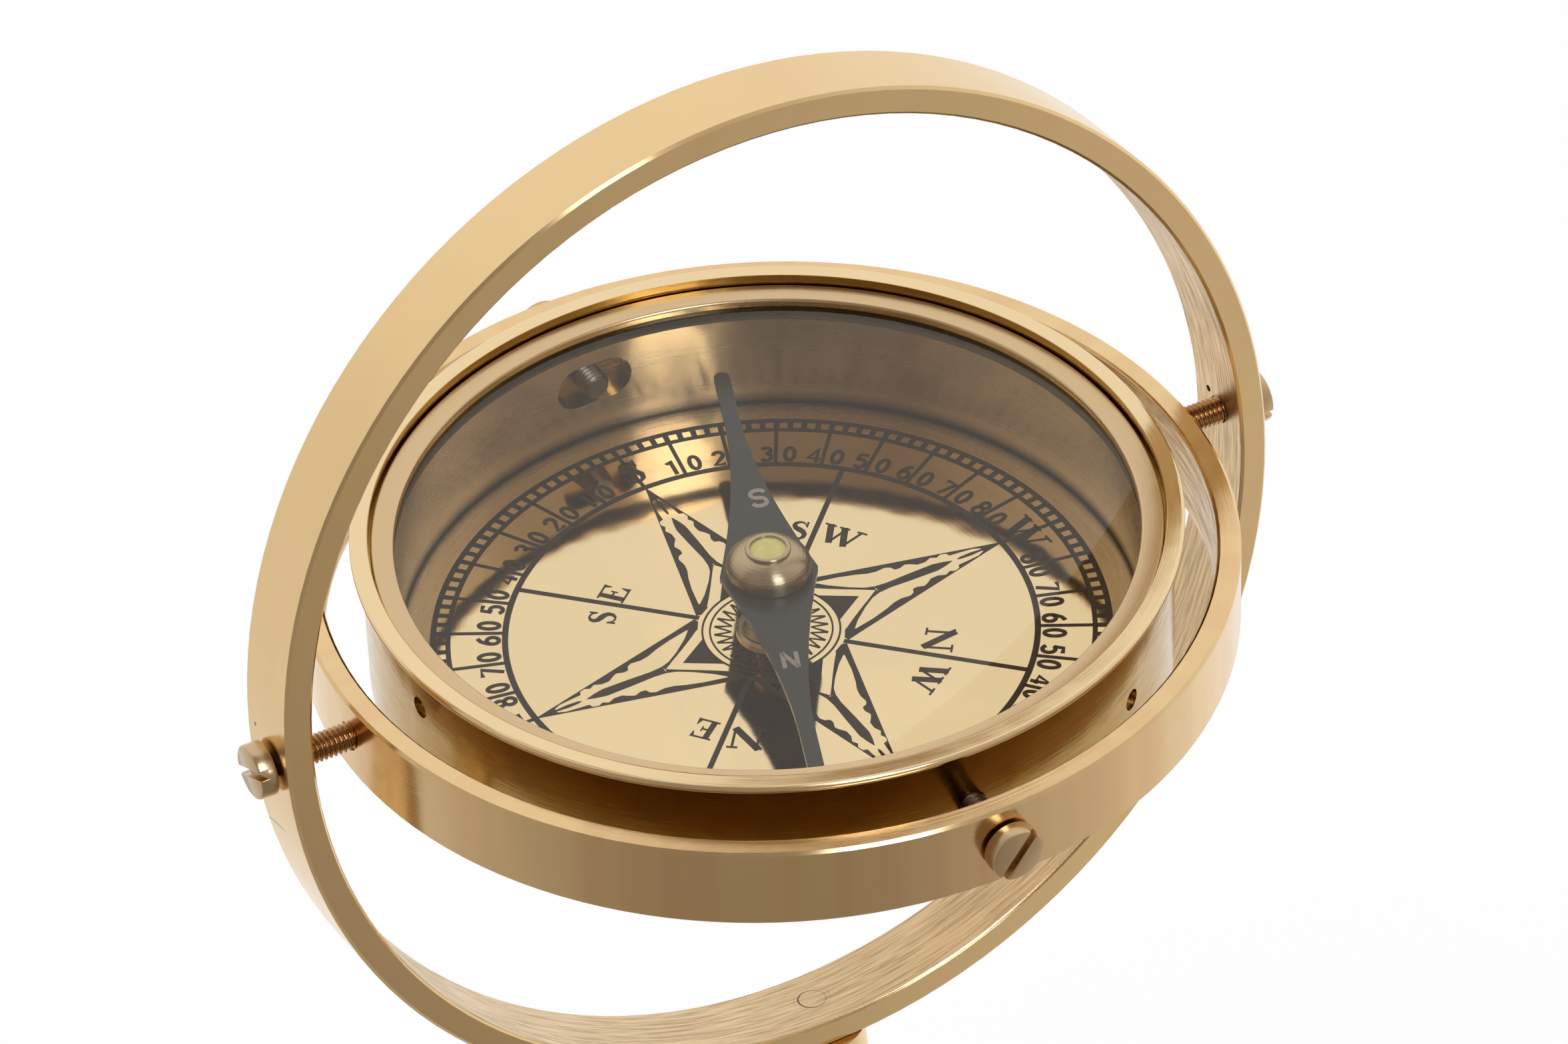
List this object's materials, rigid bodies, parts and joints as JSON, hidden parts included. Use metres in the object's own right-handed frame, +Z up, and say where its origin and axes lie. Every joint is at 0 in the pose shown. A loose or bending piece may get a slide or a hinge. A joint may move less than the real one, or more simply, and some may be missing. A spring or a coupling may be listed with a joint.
{
  "type": "desk compass",
  "caption": "Brass desk compass: a glazed round bowl with a printed card and a pivoted needle, hung in a gimbal ring inside an upright hoop on a turned stem and a domed round foot.",
  "frame": {"origin": "centre of the foot's felt face, where the compass stands on the desk", "axes": "+Z up along the stem; +X along the side pivots that carry the gimbal ring; +Y away from the viewer, along the inner pivots"},
  "size_m": [0.1557, 0.133, 0.214],
  "materials": {
    "polished_brass": "polished",
    "satin_brass": "brushed",
    "screw_brass": "machined",
    "dark_brass": "polished, toned dark",
    "dial_brass": "polished card",
    "dial_enamel": "printed enamel",
    "steel": "machined",
    "needle_steel": "blued",
    "jewel": "polished",
    "gasket": "rough",
    "glass": "clear",
    "felt": "felt"
  },
  "bodies": {
    "stand": {"felt_pad": "felt", "foot": "polished_brass", "foot_washer": "steel", "foot_screw": "steel", "stem": "polished_brass", "ring_seat": "polished_brass", "ring_stud": "satin_brass", "outer_ring": "polished_brass", "outer_pivot_screw_left": "screw_brass", "outer_pivot_screw_right": "screw_brass"},
    "gimbal": {"middle_ring": "satin_brass", "inner_pivot_screw_front": "screw_brass", "inner_pivot_screw_back": "screw_brass"},
    "bowl": {"bowl_case": "dark_brass", "case_set_screws": "dark_brass", "bowl_liner": "satin_brass", "dial_plate": "dial_brass", "dial_inlay": "dial_enamel", "pivot_post": "polished_brass", "post_nut": "satin_brass", "pivot_pin": "steel", "glass_gasket": "gasket", "glass": "glass", "bezel": "polished_brass"},
    "needle": {"needle": "needle_steel", "needle_cap": "satin_brass", "cap_jewel": "jewel"}
  },
  "joints": [
    {"name": "gimbal_swing", "type": "hinge", "parent": "stand", "child": "gimbal", "pos_m": [0, 0, 0.139], "axis": [1, 0, 0], "continuous": true},
    {"name": "bowl_swing", "type": "hinge", "parent": "gimbal", "child": "bowl", "pos_m": [0, 0, 0.139], "axis": [0, 0.9942, 0.108], "continuous": true},
    {"name": "needle_spin", "type": "hinge", "parent": "bowl", "child": "needle", "pos_m": [0, 0, 0.139], "axis": [0, -0.108, 0.9942], "continuous": true}
  ]
}
